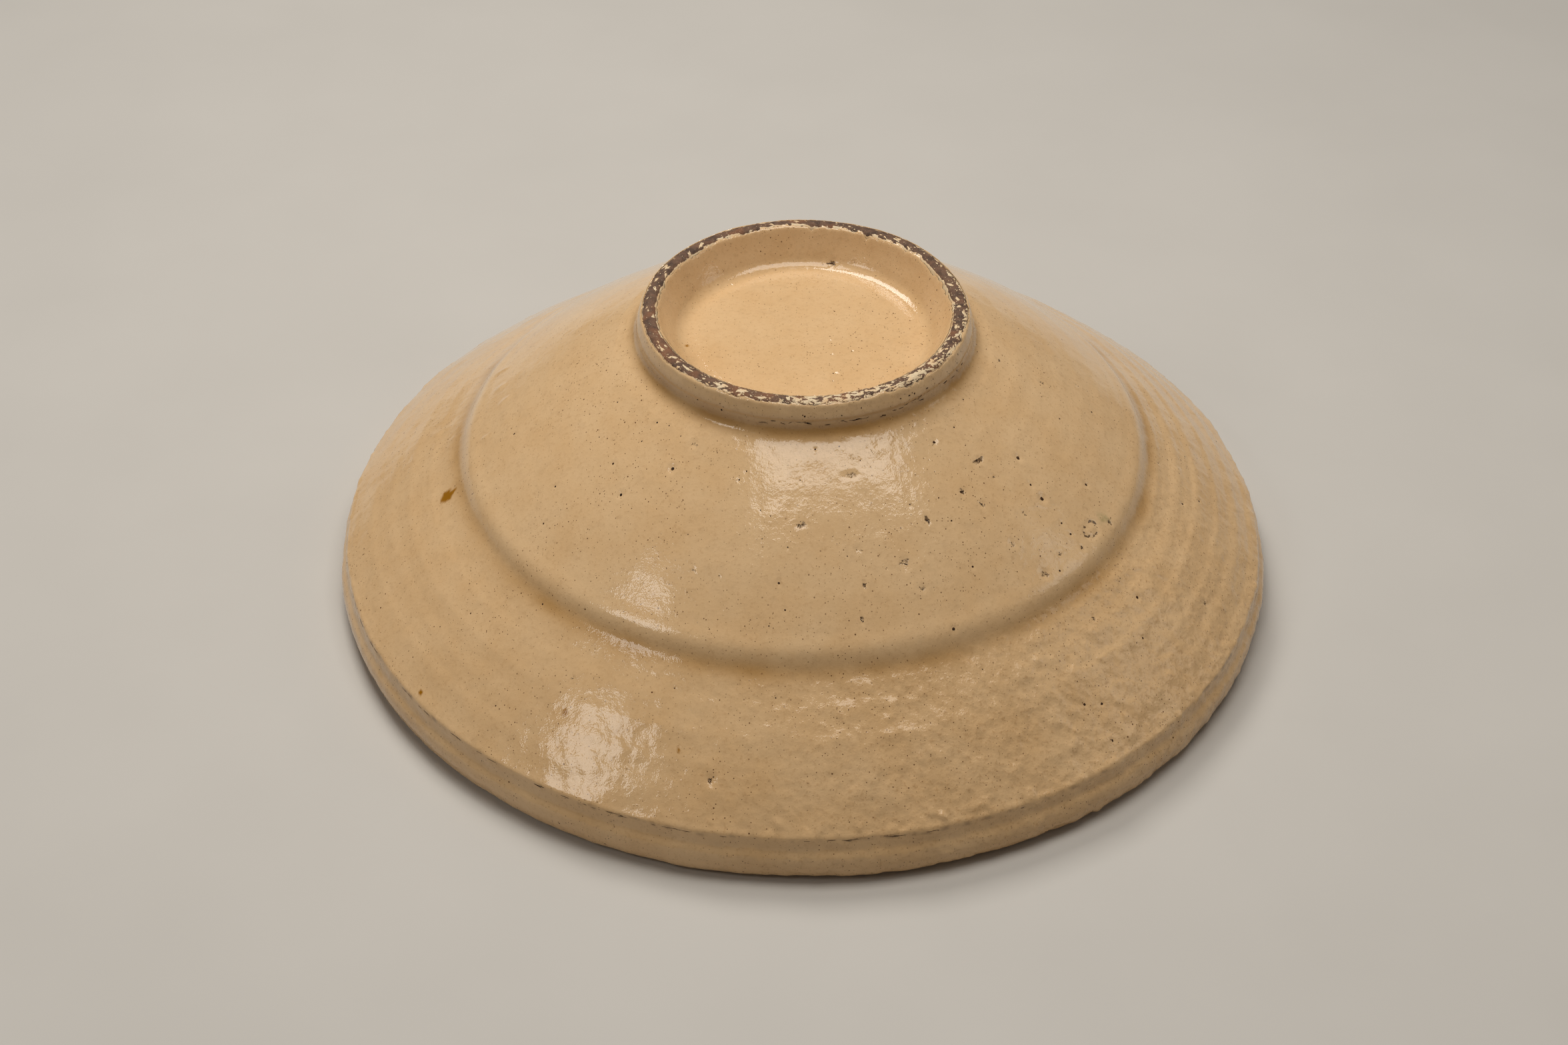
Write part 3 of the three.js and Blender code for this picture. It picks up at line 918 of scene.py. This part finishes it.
def glaze_coats():
    """The glaze, with all the relief. The back's is in three, each with its own rings."""
    theta = turned(FINE_COLS)
    edge = well_edge(theta, 0.75)
    base = np.concatenate([
        rows(1.5, S_WELL_EDGE - 4.0, 0.85), rows(S_WELL_EDGE - 3.75, S_WELL_EDGE, 0.24),
    ])
    rings = drawn_to(base, edge, S_WELL_EDGE)
    coat("well_glaze_coat", rings, FINE_COLS, "glaze", "well_glaze",
         axis="first", taper=edge_taper(rings, edge))

    edge = back_edge(theta, 0.25)
    foot = np.concatenate([
        rows(S_BACK_EDGE, S_BACK_EDGE + 3.4, 0.2), rows(S_BACK_EDGE + 3.65, S_DOME, 0.27),
    ])
    dome = rows(S_DOME, S_GROOVE, 0.88)
    flange = rows(S_GROOVE, S_RIM_SEAM, 0.62)
    rim = rows(S_RIM_SEAM, S_BOWL_SEAM, 0.52)
    bowl = rows(S_BOWL_SEAM, S_END - 1.5, 1.4)
    rings = drawn_to(foot, edge, S_BACK_EDGE)
    coat("foot_side_glaze_coat", rings, FINE_COLS, "glaze", "back_glaze",
         taper=edge_taper(rings, edge), beyond=(rings[0], dome[1]))
    coat("dome_glaze_coat", dome, FINE_COLS, "glaze", "back_glaze",
         beyond=(foot[-2], flange[1]))
    coat("flange_glaze_coat", flange, FINE_COLS, "glaze", "back_glaze",
         beyond=(dome[-2], rim[1]))
    coat("rim_glaze_coat", rim, FINE_COLS, "glaze", "rim_glaze",
         beyond=(flange[-2], bowl[1]))
    coat("bowl_glaze_coat", bowl, PLAIN_COLS * 2, "glaze", "bowl_glaze",
         axis="last", beyond=(rim[-2], S_END - 0.5))


# Larger scabs of slip on the bare band: (azimuth, radius, half width, half length)
SCABS = [
    (-137, 43.2, 1.7, 0.6), (-122.5, 43.6, 1.5, 0.5), (-75, 43.0, 0.6, 1.2),
    (-63.5, 42.8, 0.6, 1.0), (-28.5, 44.4, 1.5, 0.5), (0, 42.0, 0.5, 0.8), (-55, 43.9, 1.3, 0.35),
    (-96, 42.9, 0.5, 1.0), (-82, 42.6, 1.1, 0.4), (-47, 43.5, 0.9, 0.6), (-35, 42.6, 0.8, 0.4),
    (-19, 43.2, 0.7, 0.5), (-68, 42.2, 0.7, 0.5), (-152, 43.8, 0.9, 0.4), (163, 43.4, 1.0, 0.4),
    (30, 43.1, 0.6, 0.4), (-112, 42.3, 0.6, 0.4), (-88, 43.8, 0.9, 0.4),
]
SLIP_FLAKES = 820


def ring_s(radius):
    """Arc length on top of the foot ring for a radius."""
    on_top = (OUTLINE[0] > S_WELL_EDGE - 0.5) & (OUTLINE[0] < S_BACK_EDGE + 0.5)
    return float(np.interp(radius, OUTLINE[1][on_top], OUTLINE[0][on_top]))


def slip_flakes():
    """Scabs of slip left on the bare clay of the foot ring."""
    rng = np.random.default_rng(23)
    spots = [(ring_s(r), math.radians(a), wide, long, 0.0, 0.09) for a, r, wide, long in SCABS]
    for _ in range(SLIP_FLAKES):
        azimuth = rng.normal(-62, 36) if rng.random() < 0.66 else rng.uniform(-180, 180)
        s = rng.uniform(S_WELL_EDGE - 0.2, S_BACK_EDGE + 0.2)
        if rng.random() < 0.4:
            s = S_BACK_EDGE + 0.3 - abs(rng.normal(0, 0.9))
        size = 0.10 + 0.5 * rng.random() ** 3.5
        spots.append((s, math.radians(azimuth), size * rng.uniform(1.0, 2.8), size,
                      rng.normal(0, 0.5), 0.07))
    flecks("foot_slip_flakes", spots, SLIP_LOOK, 0.5, ground=bared)


# The longest dark dashes along the seam under the foot ring: (azimuth, below the seam, half width)
SEAM_DASHES = [
    (-128, 0.1, 0.3), (-100.4, 0.2, 0.8), (-89, 0.5, 0.8), (-82.6, 1.0, 0.6), (-72.8, 0.5, 1.0),
    (-63.2, 1.2, 0.6), (-53.5, -2.1, 0.4), (-48.4, 1.0, 0.8), (-45.6, -1.6, 0.4), (-36, 0.6, 0.8),
    (-24, 0.7, 0.6), (6, 0.3, 0.5), (40, 0.4, 0.6), (130, 0.3, 0.6),
]

# How many flecks of iron are scattered in each place
THIN_DASHES = 30
SEAM_SPECKS = 22
ARRIS_DASHES = 46
BLISTER_FLECKS = 17


def pinhole_cores():
    """The dark bottoms of the pinholes."""
    rng = np.random.default_rng(29)
    spots = []
    for azimuth, radius, size in PINHOLES + SCATTERED:
        s, theta, wide, long = spot(azimuth, radius, size)
        wide, long = 0.85 * wide * rng.uniform(0.85, 1.1), 0.85 * long
        spots.append((s, theta, wide, long, 0.0, 0.03 + 0.12 * size))
    flecks("pinhole_cores", spots, IRON_LOOK, 0.12)


def iron_specks():
    """Burnt iron in the bursts and the blister, along the foot's seam and under the arris."""
    rng = np.random.default_rng(37)
    spots = []
    for azimuth, radius, wide, long, dark in BURSTS:
        s, theta, wide, long = spot(azimuth, radius, wide, long)
        for _ in range(round(1 + 5 * dark)):
            size = 0.05 + 0.12 * dark * rng.random()
            along, across = 0.35 * long * rng.normal(), 0.35 * wide * rng.normal()
            spots.append((s + along, theta + across / radius, size * rng.uniform(1.5, 4.5), size,
                          rng.uniform(0, 3), 0.05))
    for azimuth, drop, half in SEAM_DASHES:
        spots.append((S_SEAM + drop, math.radians(azimuth), half, rng.uniform(0.1, 0.17),
                      rng.normal(0, 0.12), 0.05))
    for azimuth in rng.uniform(-106, -22, THIN_DASHES):
        drop = 0.5 + 0.5 * math.sin(azimuth / 6) + rng.normal(0, 0.2)
        spots.append((S_SEAM + drop, math.radians(azimuth), rng.uniform(0.1, 0.9),
                      rng.uniform(0.03, 0.08), rng.normal(0, 0.2), 0.04))
    for azimuth in rng.normal(-112, 30, ARRIS_DASHES):
        spots.append((S_ARRIS + rng.normal(0.5, 0.12), math.radians(azimuth), rng.uniform(0.2, 1.9),
                      rng.uniform(0.03, 0.08), rng.normal(0, 0.05), 0.04))
    for _ in range(SEAM_SPECKS):
        size = 0.08 + 0.16 * rng.random() ** 2
        spots.append((S_SEAM + rng.normal(-1.0, 1.3), math.radians(rng.normal(-60, 26)),
                      size * rng.uniform(1, 1.4), size, rng.uniform(0, 3), 0.05))
    s, theta, wide, long = spot(*BLISTER)
    for turn in np.linspace(1.4, 5.4, BLISTER_FLECKS):
        spots.append((s + long * math.sin(turn), theta + wide * math.cos(turn) / BLISTER[1],
                      rng.uniform(0.2, 0.6), rng.uniform(0.05, 0.16), turn + math.pi / 2, 0.02))
    flecks("iron_specks", spots, IRON_LOOK, 0.35)


clay_bodies()
slip_coats()
glaze_coats()
slip_flakes()
pinhole_cores()
iron_specks()


# ---------------------------------------------------------------- stage, light and camera

FLOOR = srgb(206, 202, 196)
FLOOR_SHADE = srgb(198, 194, 188)
FLOOR_REACH = 3.0
FLOOR_POINTS = 33
WARM_WHITE = (1.0, 0.96, 0.9)


def make_floor():
    """A plain floor under the rim, in a grid of squares."""
    corner = np.linspace(-FLOOR_REACH, FLOOR_REACH, FLOOR_POINTS)
    x, y = np.meshgrid(corner, corner)
    mesh = bpy.data.meshes.new("floor")
    k = np.arange(FLOOR_POINTS ** 2).reshape(FLOOR_POINTS, FLOOR_POINTS)
    faces = np.stack([k[:-1, :-1], k[:-1, 1:], k[1:, 1:], k[1:, :-1]], axis=-1).reshape(-1, 4)
    mesh.from_pydata(np.stack([x, y, 0 * x], -1).reshape(-1, 3).tolist(), [], faces.tolist())
    look = Look("pale_floor")
    colour = look.mix(look.noise(60, 4.0), FLOOR, FLOOR_SHADE)
    mesh.materials.append(look.finish(Base_Color=colour, Roughness=0.7))
    floor = bpy.data.objects.new("floor", mesh)
    bpy.context.scene.collection.objects.link(floor)


def softbox(name, target, direction, distance, size, power, roll=0.0):
    """A rectangular studio light seen from the target, in metres, along a direction."""
    data = bpy.data.lights.new(name, "AREA")
    data.shape = "RECTANGLE"
    data.size, data.size_y = size
    data.energy = power
    data.color = WARM_WHITE
    lamp = bpy.data.objects.new(name, data)
    out = Vector(direction).normalized()
    lamp.location = Vector(target) + distance * out
    rolled = Matrix.Rotation(math.radians(roll), 3, "Z").to_quaternion()
    lamp.rotation_euler = (out.to_track_quat("Z", "Y") @ rolled).to_euler()
    bpy.context.scene.collection.objects.link(lamp)


def make_lights():
    """Four soft lights, where the highlights on the glaze place them, and a dim surround."""
    softbox("side_softbox", (-0.04, -0.08, 0.05), (-0.61, -0.35, 0.69), 1.0, (0.26, 0.26), 0.95)
    softbox("top_softbox", (0.095, -0.02, 0), (0, 0, 1), 1.0, (0.71, 0.46), 4.6, roll=10)
    softbox("back_softbox", (0, 0, 0.05), (-0.24, 0.5, 0.83), 1.1, (0.45, 0.45), 5.6)
    softbox("right_softbox", (0.09, -0.08, 0.03), (0.84, 0.05, 0.5), 1.0, (0.3, 0.3), 0.35)
    world = bpy.data.worlds.new("studio")
    world.use_nodes = True
    background = world.node_tree.nodes["Background"]
    background.inputs["Color"].default_value = (*WARM_WHITE, 1.0)
    background.inputs["Strength"].default_value = 0.08
    bpy.context.scene.world = world


# The camera, in millimetres and degrees, looking at a point near the middle of the dish's base
CAMERA_TARGET = (-5.5, 12.0, 0.0)
CAMERA_ELEVATION = 39.31
CAMERA_DISTANCE = 759.6
CAMERA_ROLL = 0.24
CAMERA_LENS = 58.05


def make_camera():
    """The camera, raised over the front of the dish."""
    data = bpy.data.cameras.new("camera")
    data.sensor_width = 36
    data.lens = CAMERA_LENS
    data.clip_start = 0.01
    eye = bpy.data.objects.new("camera", data)
    rise = math.radians(CAMERA_ELEVATION)
    back = Vector((0, -math.cos(rise), math.sin(rise)))
    eye.location = (Vector(CAMERA_TARGET) + CAMERA_DISTANCE * back) * MM
    look = back.to_track_quat("Z", "Y").to_matrix()
    eye.rotation_euler = (look @ Matrix.Rotation(math.radians(CAMERA_ROLL), 3, "Z")).to_euler()
    bpy.context.scene.collection.objects.link(eye)
    bpy.context.scene.camera = eye


make_floor()
make_lights()
make_camera()
bpy.context.scene.view_settings.view_transform = "Standard"
